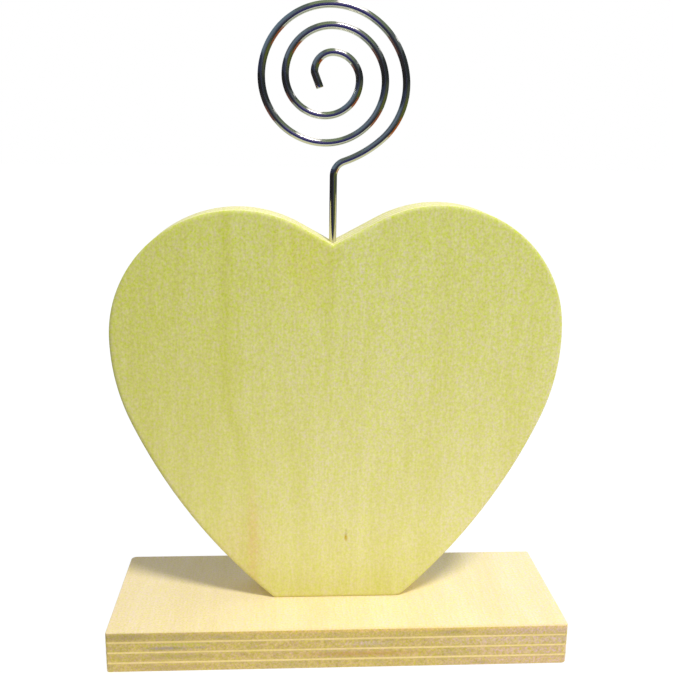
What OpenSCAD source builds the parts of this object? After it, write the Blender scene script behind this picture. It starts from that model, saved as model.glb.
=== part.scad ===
// Photo holder: a heart of plywood stands on a plywood base, and a spiral of
// bent wire swivels in a hole drilled down from the notch of the heart.
// Millimetres. +X is to the right of someone who faces the heart, +Y is away
// from them and +Z is up. The origin is the middle of the base's underside.

/* [Plywood board] */
// Thickness of the board that the base and the heart are sawn from
board_t = 12; // [11:0.5:15]
// Thickness of each of the three thin cross plies
cross_ply_t = 0.6; // [0.5:0.1:1.2]
// Radius that sandpaper leaves on the heart's edges
heart_edge_r = 0.5; // [0.3:0.1:1.2]
// Radius that sandpaper leaves on the base's edges
base_edge_r = 0.3; // [0.3:0.1:0.6]

/* [Base] */
// Width of the base
base_w = 130; // [128:1:170]
// Depth of the base
base_d = 45; // [40:1:70]
// Plan radius of the base's front left and back right corners
base_corner_r = 0.8; // [0.7:0.1:5]
// Plan radius of the front right and back left corners, which are sanded rounder
base_round_corner_r = 1.6; // [0.7:0.1:8]

/* [Heart] */
// Distance from the base's front edge to the heart's front face
heart_setback = 17.7; // [12:0.1:20]
// Width of the flat foot that the heart stands on
foot_w = 37.2; // [30:0.1:44]
// Radius of each round lobe
lobe_r = 35.3; // [33:0.1:38]
// Radius of the cheeks, the widest stretch of each side
cheek_r = 61; // [50:1:80]
// Radius of the flanks that run down to the foot
flank_r = 158; // [120:1:200]
// Height of the right lobe's centre over the foot
lobe_up = 81; // [76:0.1:84]
// How much lower the left lobe's centre is
left_lobe_drop = 1.7; // [0:0.1:3]
// Distance of the notch to the left of the middle of the base
notch_left = 2.3; // [0:0.1:4]
// Corner radius of the foot on the right
foot_right_r = 4.5; // [1.6:0.1:6]
// Corner radius of the foot on the left
foot_left_r = 1.6; // [1.5:0.1:5]

/* [Photo clip] */
// Thickness of the spring wire
wire_d = 2; // [1.5:0.1:2.2]
// Depth of the straight stem in the heart
stem_in = 24.5; // [15:0.5:40]
// Straight length of the stem from the notch up to the first bend
stem_out = 18.2; // [15:0.1:30]
// Radius of the first bend, where the stem turns to the right
stem_bend_r = 4.2; // [3:0.1:7]
// Radius of the shallow curve that leads up to the spiral
lead_r = 30; // [25:0.5:40]
// Radius of the curve that turns the lead upright
rise_r = 18.7; // [16:0.1:24]
// Radius of the outermost quarter turn of the spiral
coil_r = 20.4; // [20:0.1:28]
// Radius of the small kink before the inner end
kink_r = 1.5; // [1.2:0.1:2.5]
// Straight length at the inner end
inner_end = 4; // [1:0.1:4.5]

/* [Screws] */
// Diameter of the wood screws
screw_d = 3; // [2.5:0.1:3.5]
// Diameter of the countersunk screw heads
screw_head_d = 6; // [5.5:0.1:7]
// Depth that the screws reach into the heart
screw_bite = 18; // [10:0.5:25]

/* [Hidden] */
$fn = 64;

// The board has seven plies. Odd ones are thick, and even ones are thin cross plies.
ply_count = 7;
thick_plies = 4;
thin_plies = 3;
thick_ply_t = (board_t - thin_plies * cross_ply_t) / thick_plies;

// Clearances and overrun
stem_clear = 0.05;
screw_clear = 0.05;
end_gap = 0.3;
overrun = 1;

// Screw heads lie this deep in the underside, and taper over this height
screw_sink = 0.4;
screw_head_h = 1.6;
// The cross recess in each head
cross_w = 0.8;
cross_l = 3.2;
cross_h = 1;
// Length of the pointed tip
screw_tip_h = 4;
// Place of each screw, as a share of the foot's width from its middle
screw_place_share = 0.27;

// Distance of each lobe's centre from the middle of the base, and height of the
// notch's bottom over the right lobe's centre, as shares of the lobe's radius
right_lobe_out_share = 0.768;
left_lobe_out_share = 0.804;
notch_over_share = 0.686;
// Angle on each lobe where the wider cheek curve takes over, up from level
right_cheek_from = 4;
left_cheek_from = 0;
// Steps along each stretch of the heart's outline, and round each sanded edge
corner_steps = 4;
flank_steps = 8;
cheek_steps = 8;
lobe_steps = 24;
edge_steps = 3;

// Turn of each bend from the stem to the spiral, in degrees
stem_turn = 71;
lead_turn = 23;
rise_turn = stem_turn - lead_turn;
kink_turn = 21;
// Radius of each quarter turn of the spiral, from the outside in, as a share of
// the outermost: the wire is wound tighter and tighter by hand
quarter_shares = [1, 0.9, 0.84, 0.78, 0.7, 0.61, 0.52, 0.45, 0.35, 0.24];
// Largest turn between two rings of the wire, and sides of each ring
ring_turn = 10;
ring_sides = 16;
// The bent wire's corners keep just inside the round stem where the two meet
ring_share = 0.99;
// Length of bent wire that is tucked into the top of the stem
tuck = wire_d / 2;

// Places worked out from the sizes above
heart_front_y = heart_setback - base_d / 2;
heart_mid_y = heart_front_y + board_t / 2;
foot_half = foot_w / 2;
right_lobe = [lobe_r * right_lobe_out_share, lobe_up];
left_lobe = [lobe_r * left_lobe_out_share, lobe_up - left_lobe_drop];
notch_up = lobe_up + lobe_r * notch_over_share;
notch = [-notch_left, notch_up];
notch_z = board_t + notch_up;
bend_z = notch_z + stem_out;
screw_x = foot_w * screw_place_share;

// Thickness of a ply, and how far into the board it starts
function ply_t(i) = i % 2 == 1 ? thick_ply_t : cross_ply_t;
function ply_from(i) = floor(i / 2) * thick_ply_t + floor((i - 1) / 2) * cross_ply_t;

// Unit vector at an angle, and points along an arc without its first one
function ray(a) = [cos(a), sin(a)];
function arc_points(centre, r, from, to, steps) =
    [for (k = [1 : steps]) centre + r * ray(from + (to - from) * k / steps)];

// Plan outline of the base, drawn in by inset
function base_outline(inset) =
    let (
        w = base_w / 2,
        d = base_d / 2,
        c = base_corner_r,
        e = base_round_corner_r
    )
    concat(
        corner_arc([w - e, e - d], e - inset, -90),
        corner_arc([w - c, d - c], c - inset, 0),
        corner_arc([e - w, d - e], e - inset, 90),
        corner_arc([c - w, c - d], c - inset, 180)
    );
function corner_arc(centre, r, from) =
    [for (k = [0 : corner_steps]) centre + r * ray(from + 90 * k / corner_steps)];

// One side of the heart, with x measured outwards from the middle: the circle of
// the lobe lies inside that of the cheek and touches it, and the cheek's lies
// inside that of the flank, so the three arcs run on smoothly to the foot.
function cheek_centre(lobe, from) = lobe - (cheek_r - lobe_r) * ray(from);
// Angle at which the flank's arc takes over, so that it ends at the foot's corner
function flank_from(cheek) =
    let (
        v = [foot_half, 0] - cheek,
        spread = flank_r - cheek_r,
        across = (pow(flank_r, 2) - pow(spread, 2) - pow(norm(v), 2)) / (2 * spread)
    )
    atan2(v[1], v[0]) + acos(across / norm(v));
// Angle at which a straight run to the notch leaves the lobe
function lobe_to(lobe, n) =
    let (w = n - lobe)
    atan2(w[1], w[0]) - acos(lobe_r / norm(w));

function heart_side(lobe, from, n, foot_r, inset) =
    let (
        cheek = cheek_centre(lobe, from),
        to = flank_from(cheek),
        flank = cheek - (flank_r - cheek_r) * ray(to),
        v = [foot_half, 0] - flank,
        corner = atan2(v[1], v[0]),
        run = foot_r * tan((90 + corner) / 2),
        start = corner + run / flank_r * 180 / PI,
        foot = [foot_half - run, foot_r]
    )
    concat(
        [foot - [0, foot_r - inset]],
        arc_points(foot, foot_r - inset, -90, corner, corner_steps),
        arc_points(flank, flank_r - inset, start, to, flank_steps),
        arc_points(cheek, cheek_r - inset, to, from, cheek_steps),
        arc_points(lobe, lobe_r - inset, from, lobe_to(lobe, n), lobe_steps)
    );

// The notch drawn in by inset: where the two straight runs meet once both are moved
function notch_at(inset) =
    let (
        r = -ray(lobe_to(right_lobe, notch)),
        l = -ray(180 - lobe_to(left_lobe, [-notch[0], notch[1]]))
    )
    notch + inset * (r + l) / (1 + r * l);

function flip(points) = [for (k = [len(points) - 1 : -1 : 0]) [-points[k][0], points[k][1]]];

// The whole outline of the heart, with the foot on the line y = 0
function heart_outline(inset) =
    concat(
        heart_side(right_lobe, right_cheek_from, notch, foot_right_r, inset),
        [notch_at(inset)],
        flip(heart_side(left_lobe, left_cheek_from, [-notch[0], notch[1]], foot_left_r, inset))
    );

// Insets and heights that round an edge over, from the inner face of a ply outwards
function edge_insets(r) =
    concat([0], [for (k = [0 : edge_steps]) r * (1 - cos(90 * k / edge_steps))]);
function edge_heights(r) =
    concat([0], [for (k = [0 : edge_steps]) thick_ply_t - r * (1 - sin(90 * k / edge_steps))]);

// A solid through a stack of outlines that all have the same number of points
module loft(rows, heights) {
    n = len(rows[0]);
    last = len(rows) - 1;
    points = [for (r = [0 : last]) for (p = rows[r]) [p[0], p[1], heights[r]]];
    walls = [
        for (r = [0 : last - 1])
        for (k = [0 : n - 1])
        let (a = r * n + k, b = r * n + (k + 1) % n)
        each [[a, a + n, b + n], [a, b + n, b]]
    ];
    floor_face = [for (k = [0 : n - 1]) k];
    roof_face = [for (k = [n - 1 : -1 : 0]) last * n + k];
    polyhedron(points, concat(walls, [floor_face], [roof_face]));
}

module sanded_base_ply() {
    loft([for (s = edge_insets(base_edge_r)) base_outline(s)], edge_heights(base_edge_r));
}

module sanded_heart_ply() {
    loft([for (s = edge_insets(heart_edge_r)) heart_outline(s)], edge_heights(heart_edge_r));
}

// Hole for a screw through the base, with its countersink at the underside
module base_screw_hole() {
    wide = screw_head_d / 2 + screw_clear;
    narrow = screw_d / 2 + screw_clear;
    rotate_extrude()
    polygon([
        [0, -overrun],
        [wide, -overrun],
        [wide, screw_sink],
        [narrow, screw_sink + screw_head_h],
        [narrow, board_t + overrun],
        [0, board_t + overrun]
    ]);
}

module at_screws() {
    for (x = [-screw_x, screw_x]) translate([x, heart_mid_y, 0]) children();
}

// Plies of the base, from the underside up. The outer two have their outer edge sanded.
module base_ply(i) {
    color(i % 2 == 1 ? "tan" : "cornsilk")
    difference() {
        if (i == 1) {
            translate([0, 0, thick_ply_t]) mirror([0, 0, 1])
            sanded_base_ply();
        } else if (i == ply_count) {
            translate([0, 0, ply_from(i)])
            sanded_base_ply();
        } else {
            translate([0, 0, ply_from(i)]) linear_extrude(ply_t(i)) polygon(base_outline(0));
        }
        at_screws() base_screw_hole();
    }
}

// Holes in the heart: one for the wire from the notch down, two for the screws
module heart_holes() {
    stem_hole_d = wire_d + 2 * stem_clear;
    stem_hole_h = stem_in + end_gap;
    translate([notch[0], heart_mid_y, notch_z - stem_hole_h])
    cylinder(d = stem_hole_d, h = stem_hole_h + overrun);
    at_screws()
    translate([0, 0, board_t - overrun])
    cylinder(d = screw_d + 2 * screw_clear, h = overrun + screw_bite + end_gap);
}

// Plies of the heart, from the front face back. The outer two have their outer edge sanded.
module heart_ply(i) {
    color(i % 2 == 1 ? "khaki" : "cornsilk")
    if (i == 1) {
        translate([0, heart_front_y + thick_ply_t, board_t])
        rotate([90, 0, 0]) sanded_heart_ply();
    } else if (i == ply_count) {
        translate([0, heart_front_y + ply_from(i), board_t])
        mirror([0, 1, 0])
        rotate([90, 0, 0]) sanded_heart_ply();
    } else {
        difference() {
            translate([0, heart_front_y + ply_from(i) + ply_t(i), board_t])
            rotate([90, 0, 0]) linear_extrude(ply_t(i)) polygon(heart_outline(0));
            heart_holes();
        }
    }
}

// The wire's centre line as a row of bends, each a radius and a turn to the left.
// A place on it is [x, z, heading], seen from the front.
bends = concat(
    [[stem_bend_r, -stem_turn], [lead_r, lead_turn], [rise_r, rise_turn]],
    [for (s = quarter_shares) [coil_r * s, 90]],
    [[kink_r, kink_turn]]
);
function along_bend(p, r, a) =
    let (s = sign(a))
    [
        p[0] + s * r * (sin(p[2] + a) - sin(p[2])),
        p[1] + s * r * (cos(p[2]) - cos(p[2] + a)),
        p[2] + a
    ];
function forward(p, l) = [p[0] + l * cos(p[2]), p[1] + l * sin(p[2]), p[2]];
bend_starts = [
    for (i = 0, p = [notch[0], bend_z, 90]; i <= len(bends);
        p = i < len(bends) ? along_bend(p, bends[i][0], bends[i][1]) : p, i = i + 1) p
];
wire_places = concat(
    [forward(bend_starts[0], -tuck), bend_starts[0]],
    [
        for (i = [0 : len(bends) - 1])
        let (steps = ceil(abs(bends[i][1]) / ring_turn))
        for (k = [1 : steps])
        along_bend(bend_starts[i], bends[i][0], bends[i][1] * k / steps)
    ],
    [forward(bend_starts[len(bends)], inner_end)]
);

// The least gap between two turns, measured between rings at least half a turn apart
half_turn = 180 / ring_turn;
turn_gap = min([
    for (i = [0 : len(wire_places) - 1 - half_turn])
    for (k = [i + half_turn : len(wire_places) - 1])
    norm([wire_places[i][0] - wire_places[k][0], wire_places[i][1] - wire_places[k][1]])
]) - wire_d;
echo("least gap between turns of the wire", turn_gap);

// One ring of corners round the centre line at a place
function ring(p) = [
    for (k = [0 : ring_sides - 1])
    let (r = ring_share * wire_d / 2, u = r * cos(360 * k / ring_sides))
    [p[0] - u * sin(p[2]), heart_mid_y + r * sin(360 * k / ring_sides), p[1] + u * cos(p[2])]
];

// The bent part of the wire as one unbroken tube
module bent_wire() {
    n = ring_sides;
    last = len(wire_places) - 1;
    points = [for (p = wire_places) each ring(p)];
    walls = [
        for (r = [0 : last - 1])
        for (k = [0 : n - 1])
        let (a = r * n + k, b = r * n + (k + 1) % n)
        each [[a, b, b + n], [a, b + n, a + n]]
    ];
    first_face = [for (k = [n - 1 : -1 : 0]) k];
    last_face = [for (k = [0 : n - 1]) last * n + k];
    polyhedron(points, concat(walls, [first_face], [last_face]));
}

// The clip: a straight round stem, and the bent wire that carries on from it
module photo_clip() {
    color("lightslategray")
    union() {
        translate([notch[0], heart_mid_y, notch_z - stem_in])
        cylinder(d = wire_d, h = stem_in + stem_out - tuck / 2);
        bent_wire();
    }
}

// Two countersunk wood screws, driven up through the base into the heart
module heart_screws() {
    color("gainsboro")
    at_screws()
    difference() {
        rotate_extrude()
        polygon([
            [0, screw_sink],
            [screw_head_d / 2, screw_sink],
            [screw_d / 2, screw_sink + screw_head_h],
            [screw_d / 2, board_t + screw_bite - screw_tip_h],
            [0, board_t + screw_bite]
        ]);
        for (a = [0, 90])
            rotate([0, 0, a])
            translate([-cross_l / 2, -cross_w / 2, screw_sink - overrun])
            cube([cross_l, cross_w, overrun + cross_h]);
    }
}

for (i = [1 : ply_count]) base_ply(i);
for (i = [1 : ply_count]) heart_ply(i);
photo_clip();
heart_screws();
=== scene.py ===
# %% [markdown]
# # A photo holder: a plywood heart with a spiral clip of bent wire
# The holder is a heart sawn from plywood that stands on a plywood base. A bright
# plated wire comes up out of the notch of the heart and winds into a flat spiral, which
# grips a photo between its turns. The CAD model is loaded first as a fixed frame, with
# every place and size in metres, and each piece made here lies where the frame says.

# %% Load the frame
import math

import bpy
import numpy as np
from mathutils import Matrix, Vector


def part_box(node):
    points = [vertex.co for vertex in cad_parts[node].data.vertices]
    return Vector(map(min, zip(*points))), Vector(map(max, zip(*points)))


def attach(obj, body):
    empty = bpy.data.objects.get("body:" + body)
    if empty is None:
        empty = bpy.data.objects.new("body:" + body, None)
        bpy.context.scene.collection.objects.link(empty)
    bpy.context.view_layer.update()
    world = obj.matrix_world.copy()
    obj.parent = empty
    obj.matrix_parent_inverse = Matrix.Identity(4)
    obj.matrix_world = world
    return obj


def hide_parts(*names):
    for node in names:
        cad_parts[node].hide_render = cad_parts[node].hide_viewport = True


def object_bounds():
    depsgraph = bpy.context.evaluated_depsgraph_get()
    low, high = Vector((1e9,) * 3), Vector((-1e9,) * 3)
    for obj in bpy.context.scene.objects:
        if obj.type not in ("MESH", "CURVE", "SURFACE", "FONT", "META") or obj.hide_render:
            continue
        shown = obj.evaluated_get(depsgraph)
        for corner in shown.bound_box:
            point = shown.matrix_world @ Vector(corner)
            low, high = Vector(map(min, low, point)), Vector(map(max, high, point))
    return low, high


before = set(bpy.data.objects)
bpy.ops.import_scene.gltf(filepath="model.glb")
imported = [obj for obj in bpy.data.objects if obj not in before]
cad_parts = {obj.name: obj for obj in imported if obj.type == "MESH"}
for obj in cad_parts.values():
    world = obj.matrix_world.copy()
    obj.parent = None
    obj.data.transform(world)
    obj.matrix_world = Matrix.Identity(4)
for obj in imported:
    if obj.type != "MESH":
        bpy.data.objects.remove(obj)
cad_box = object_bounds()
MM = 0.001
print("CAD box in mm:", [[round(v / MM, 2) for v in corner] for corner in cad_box])

# %% [markdown]
# ## Three small helpers
# A colour is written as it looks on a screen, an sRGB hex value, and shaders want it
# linear, so one function turns it. One function adds a node to a material, whatever its
# kind. One turns arrays of points and faces into a mesh whose object sits at the origin.

# %% Helpers
SMOOTH_DEG = 40


def linear(hex_colour):
    """sRGB hex to linear red, green, blue and 1: each channel c below 0.04045 is
    divided by 12.92, and any other becomes ((c + 0.055) / 1.055) to the power 2.4."""
    c = np.array([int(hex_colour[i : i + 2], 16) for i in (1, 3, 5)]) / 255
    low, high = c / 12.92, ((c + 0.055) / 1.055) ** 2.4
    return (*np.where(c <= 0.04045, low, high).tolist(), 1.0)


def add(tree, kind, inputs=None, stops=(), **settings):
    """Adds one node. Settings are the node's own properties. In inputs, a value goes
    onto the socket of that name or number, and another node's output is linked to it.
    stops are the places and hex colours of a colour ramp's two stops."""
    node = tree.nodes.new(kind)
    for name, value in settings.items():
        setattr(node, name, value)
    for name, value in (inputs or {}).items():
        if isinstance(value, bpy.types.NodeSocket):
            tree.links.new(value, node.inputs[name])
        else:
            node.inputs[name].default_value = value.tolist() if isinstance(value, np.ndarray) else value
    for number, (place, colour) in enumerate(stops):
        node.color_ramp.elements[number].position = place
        node.color_ramp.elements[number].color = linear(colour)
    return node


def make_piece(name, points, faces, smooth_deg=SMOOTH_DEG):
    """A mesh object at the origin from an array of points and lists of face corners.
    Faces that meet at less than smooth_deg are shaded as one smooth surface."""
    mesh = bpy.data.meshes.new(name)
    mesh.from_pydata(points.reshape(-1, 3), [], faces)
    mesh.shade_smooth()
    mesh.set_sharp_from_angle(angle=math.radians(smooth_deg))
    piece = bpy.data.objects.new(name, mesh)
    bpy.context.scene.collection.objects.link(piece)
    return piece


print("a middle grey, #808080, is", round(linear("#808080")[0], 3), "in linear light")

# %% [markdown]
# ## Camera
# The photograph was taken from a little above the heart, close by. The camera was found
# by fitting the corners of the base, so its place is in the same frame as the CAD.

# %% Camera
CAMERA_PLACE = np.array([-15.07, -243.22, 148.88]) * MM
LOOK_DOWN, TURN, TILT = np.radians([13.416, 3.332, 0.788])
FOCAL_PX, PICTURE_PX, SENSOR_MM, NEAREST = 884.65, 673, 36, 10 * MM


def turned(angle, a, b):
    """The 3 by 3 matrix that turns axis a towards axis b by an angle in radians."""
    m = np.eye(3)
    m[a, a] = m[b, b] = np.cos(angle)
    m[b, a], m[a, b] = np.sin(angle), -np.sin(angle)
    return m


# Rows are the right, down and ahead of a level camera that looks along y.
level = np.array([[1, 0, 0], [0, 0, -1], [0, 1, 0]])
right, down, ahead = turned(TILT, 0, 1) @ turned(LOOK_DOWN, 1, 2) @ level @ turned(TURN, 0, 1)
pose = np.eye(4)
pose[:3, :3] = np.array([right, -down, -ahead]).T
pose[:3, 3] = CAMERA_PLACE

camera = bpy.data.objects.new("camera", bpy.data.cameras.new("camera"))
bpy.context.scene.collection.objects.link(camera)
camera.data.sensor_width = SENSOR_MM
camera.data.lens = FOCAL_PX / PICTURE_PX * SENSOR_MM
camera.data.clip_start = NEAREST
camera.matrix_world = Matrix(pose.tolist())
bpy.context.scene.camera = camera
bpy.context.scene.view_settings.view_transform = "Standard"
print("lens in mm:", round(camera.data.lens, 2))

# %% [markdown]
# ## Daylight and floor
# The shadow on the base says where the light was: per unit of height it falls 0.27 to
# the left and 0.46 backwards, and its edge softens by 0.18 of that height, so the lamp
# looks about 10 degrees wide. The rest is an even fill, a little bluer than the lamp. The
# floor is white and glows, as a light table does, so that shadows on it stay faint. The
# heart grows brighter towards its foot and towards the right, because white paper lay
# before it on the table: a glowing sheet that only diffuse light can see stands for it, and
# a dim one round it for the rest of the table. Something white stood close by on the right
# too, since the shadow is lighter on that side.

# %% Lamp
LAMP_DIRECTION = Vector((0.271, -0.46, 1)).normalized()
LAMP_DISTANCE, LAMP_SPREAD, LAMP_SHARE = 1.2, 0.18, 0.58

lamp = bpy.data.objects.new("lamp", bpy.data.lights.new("lamp", "AREA"))
bpy.context.scene.collection.objects.link(lamp)
lamp.data.shape = "DISK"
lamp.data.color = linear("#FFFEF6")[:3]
lamp.data.size = LAMP_DISTANCE * LAMP_SPREAD
lamp.data.energy = LAMP_SHARE * math.pi**2 * LAMP_DISTANCE**2 / LAMP_DIRECTION.z
lamp.location = LAMP_DIRECTION * LAMP_DISTANCE
lamp.rotation_mode = "QUATERNION"
lamp.rotation_quaternion = LAMP_DIRECTION.to_track_quat("Z", "Y")
print("lamp, mm across:", round(lamp.data.size / MM), "and watts:", round(lamp.data.energy, 2))

# %% Fill and backdrop
FILL_SHARE = 0.54

world = bpy.data.worlds.new("studio")
bpy.context.scene.world = world
world.use_nodes = True
sky = world.node_tree
sky.nodes.clear()
ray_kind = add(sky, "ShaderNodeLightPath")
backdrop = add(sky, "ShaderNodeBackground", {"Color": linear("#FFFFFF"), "Strength": 1.0})
fill = add(sky, "ShaderNodeBackground", {"Color": linear("#E8EEFF"), "Strength": FILL_SHARE})
room = add(sky, "ShaderNodeBackground", {"Color": linear("#3A3E48"), "Strength": 1.0})
unseen = add(sky, "ShaderNodeMixShader", {
    0: ray_kind.outputs["Is Glossy Ray"], 1: fill.outputs[0], 2: room.outputs[0]})
seen = add(sky, "ShaderNodeMixShader", {
    0: ray_kind.outputs["Is Camera Ray"], 1: unseen.outputs[0], 2: backdrop.outputs[0]})
add(sky, "ShaderNodeOutputWorld", {"Surface": seen.outputs[0]})
print("fill's share of the light on a level face:", round(FILL_SHARE / (FILL_SHARE + LAMP_SHARE), 2))


# %% Stage pieces
def glow(name, colour, strength=1.0):
    """A material that only shines, for the stage."""
    material = bpy.data.materials.new(name)
    material.use_nodes = True
    material.node_tree.nodes.clear()
    light = add(material.node_tree, "ShaderNodeEmission", {
        "Color": linear(colour), "Strength": strength})
    add(material.node_tree, "ShaderNodeOutputMaterial", {"Surface": light.outputs[0]})
    material.cycles.emission_sampling = "NONE"
    return material


def set_on_stage(piece, material, seen_by):
    """Paints a stage piece and hides it from every kind of ray but one."""
    piece.data.materials.append(material)
    for kind in ("camera", "diffuse", "glossy", "transmission", "volume_scatter", "shadow"):
        setattr(piece, "visible_" + kind, kind == seen_by)


def card(name, corners, material, seen_by):
    """A flat four-cornered stage piece."""
    piece = make_piece(name, np.array(corners, float), [(0, 1, 2, 3)])
    set_on_stage(piece, material, seen_by)


def flat_card(name, x, y, z, material, seen_by):
    """A level card over a range of x and of y at height z."""
    corners = [(x[0], y[0], z), (x[1], y[0], z), (x[1], y[1], z), (x[0], y[1], z)]
    card(name, corners, material, seen_by)


# %% Floor, table and white sheets
FLOOR_GLOW, FLOOR_GLOW_SHARE = 1.06, 0.92
TABLE_SHARE, SHEET_SHARE, SIDE_SHARE = 0.15, 1.8, 1.2
FLOOR_REACH, TABLE_Z = (-3.0, 3.0), -2 * MM
SHEET_X, SHEET_FRONT, SHEET_Z = (-0.08, 0.22), -0.12, -1 * MM
SIDE_X, SIDE_Y, SIDE_H = 0.15, (-0.04, 0.16), 0.12

floor_paint = bpy.data.materials.new("white_light_table")
floor_paint.use_nodes = True
tree = floor_paint.node_tree
tree.nodes.clear()
paint = add(tree, "ShaderNodeBsdfDiffuse", {"Color": linear("#FFFFFF")})
shine = add(tree, "ShaderNodeEmission", {"Color": linear("#FFFFFF"), "Strength": FLOOR_GLOW})
both = add(tree, "ShaderNodeMixShader", {0: FLOOR_GLOW_SHARE, 1: paint.outputs[0], 2: shine.outputs[0]})
add(tree, "ShaderNodeOutputMaterial", {"Surface": both.outputs[0]})
floor_paint.cycles.emission_sampling = "NONE"

flat_card("floor", FLOOR_REACH, FLOOR_REACH, 0, floor_paint, "camera")
flat_card("card_dim_table", FLOOR_REACH, FLOOR_REACH, TABLE_Z,
          glow("dim_table", "#FFFFFF", TABLE_SHARE), "diffuse")
flat_card("card_front_sheet", SHEET_X, (SHEET_FRONT, cad_box[0].y), SHEET_Z,
          glow("sheet_in_front", "#F6E8FF", SHEET_SHARE), "diffuse")
side_yz = [(SIDE_Y[0], 0), (SIDE_Y[1], 0), (SIDE_Y[1], SIDE_H), (SIDE_Y[0], SIDE_H)]
card("card_white_side", [(SIDE_X, y, z) for y, z in side_yz],
     glow("white_side", "#FFFFFF", SIDE_SHARE), "diffuse")
print("white sheet, mm wide and deep:",
      round(np.ptp(SHEET_X) / MM), round((cad_box[0].y - SHEET_FRONT) / MM))

# %% [markdown]
# ## What the wire reflects
# A mirror-bright wire shows the room, not itself, so a room is built that only reflections
# can see. White paper on a brown table lights the wire's lower side, a strip lamp puts a
# white stripe with sharp ends on its upper side, and a window makes a second small glint.
# The walls are patches of a sphere. In each, roll is the angle round the line of sight,
# from the right, 0, over the top, 90, to the left, 180, and away is the angle from the
# camera's side: 0 is in front of the wire, 90 is at its side and 180 is behind it.

# %% Ceiling and table in the reflections
ROOM_FAR = 4.0
CEILING_H, STRIP_X, STRIP_FRONT, STRIP_GLOW = 0.9, (0.09, 0.40), -0.72, 1.7
TABLE_FRONT, PAPER_Z = -0.15, -1.5 * MM
TABLE_PARTS = {
    "paper_on_table": ((-0.10, 0.19), "#EAF3DF"),
    "grey_paper": ((-0.20, -0.10), "#B2BCB0"),
    "brown_table_right": ((0.19, 0.40), "#C06A24"),
    "brown_table_left": ((-0.38, -0.20), "#805850")}

flat_card("card_strip_lamp", STRIP_X, (STRIP_FRONT, ROOM_FAR), CEILING_H,
          glow("strip_lamp", "#FFFFFF", STRIP_GLOW), "glossy")
for name, (x, colour) in TABLE_PARTS.items():
    flat_card(f"card_{name}", x, (TABLE_FRONT, ROOM_FAR), PAPER_Z, glow(name, colour), "glossy")
print("parts of the table that the wire reflects:", len(TABLE_PARTS))

# %% Walls in the reflections
ROOM_CENTRE, ROOM_R, ROOM_STEP = np.array([0, 0, 0.155]), 1.4, 6
WALLS = {
    "navy_below": ((228, 312), (4, 60), "#38387C"),
    "navy_above": ((82, 104), (4, 34), "#46487A"),
    "violet": ((50, 82), (4, 36), "#877EC8"),
    "grey_blue": ((104, 160), (8, 36), "#657186"),
    "grey_green": ((104, 116), (36, 172), "#6D7B79"),
    "teal": ((116, 158), (36, 172), "#768CA2"),
    "olive_above": ((84, 104), (30, 172), "#92A683"),
    "olive_right": ((42, 64), (18, 172), "#7E9076"),
    "grey_right": ((27, 42), (18, 172), "#687376"),
    "dark_right": ((4, 27), (12, 172), "#343B3E"),
    "olive_low_right": ((-22, -6), (12, 172), "#66703A"),
    "grey_low_right": ((-6, 4), (12, 172), "#565E50"),
    "dark_blue": ((158, 173), (4, 172), "#3A415C"),
    "black_left": ((173, 190), (4, 172), "#2C2C30"),
    "dark_left": ((190, 208), (4, 172), "#38363A"),
    "window": ((32, 39), (84, 140), "#FFFFFF")}
WINDOW_GLOW = 1.6


def wall(name, roll, away, colour, strength):
    """A patch of the sphere round the wire: the point at roll a and away b lies in the
    direction (sin b cos a, -cos b, sin b sin a)."""
    n = [max(2, round(np.ptp(span) / ROOM_STEP) + 1) for span in (roll, away)]
    a, b = np.radians(np.meshgrid(np.linspace(*roll, n[0]), np.linspace(*away, n[1])))
    way = np.stack([np.sin(b) * np.cos(a), -np.cos(b), np.sin(b) * np.sin(a)], -1)
    k = np.arange(n[1] - 1)[:, None] * n[0] + np.arange(n[0] - 1)
    faces = np.stack([k, k + 1, k + n[0] + 1, k + n[0]], -1).reshape(-1, 4)
    patch = make_piece(f"room_{name}", ROOM_CENTRE + ROOM_R * way, faces.tolist())
    set_on_stage(patch, glow(f"room_{name}", colour, strength), "glossy")


for name, (roll, away, colour) in WALLS.items():
    wall(name, roll, away, colour, WINDOW_GLOW if name == "window" else 1.0)
print("patches of wall:", len(WALLS))

# %% [markdown]
# ## The outline of the boards
# Both boards are flat plates, so all that matters is the outline and how the edge is
# sanded. The heart's side is three arcs that run on smoothly from the foot to the lobe,
# and a straight run down into the notch. The base is a rectangle with small round corners.
# Each outline can be drawn in by a distance, which is what rounds the edges over.

# %% Outlines
HEART_MIDDLE_Y = sum(corner.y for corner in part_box("heart_ply_4")) / 2
BASE_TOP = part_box("base_ply_7")[1].z
FOOT_HALF, LOBE_R, CHEEK_R, FLANK_R = np.array([18.6, 35.3, 61, 158]) * MM
NOTCH_X, LOBE_UP, LEFT_LOBE_DROP = -2.3 * MM, 81 * MM, 1.7 * MM
# Shares of the lobe's radius: the notch above the lobes' centres, and each centre's x.
NOTCH_SHARE, RIGHT_SHARE, LEFT_SHARE = 0.686, 0.768, 0.804
NOTCH = np.array([NOTCH_X, LOBE_UP + NOTCH_SHARE * LOBE_R])
RIGHT_LOBE = np.array([RIGHT_SHARE * LOBE_R, LOBE_UP])
LEFT_LOBE = np.array([LEFT_SHARE * LOBE_R, LOBE_UP - LEFT_LOBE_DROP])
RIGHT_SIDE = {"lobe": RIGHT_LOBE, "cheek_from": 4, "foot_r": 4.5 * MM}
LEFT_SIDE = {"lobe": LEFT_LOBE, "cheek_from": 0, "foot_r": 1.6 * MM}
STEP, FEWEST_STEPS = 0.7 * MM, 10


def ray(degrees):
    """Unit vectors at these angles."""
    return np.stack([np.cos(np.radians(degrees)), np.sin(np.radians(degrees))], -1)


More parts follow.
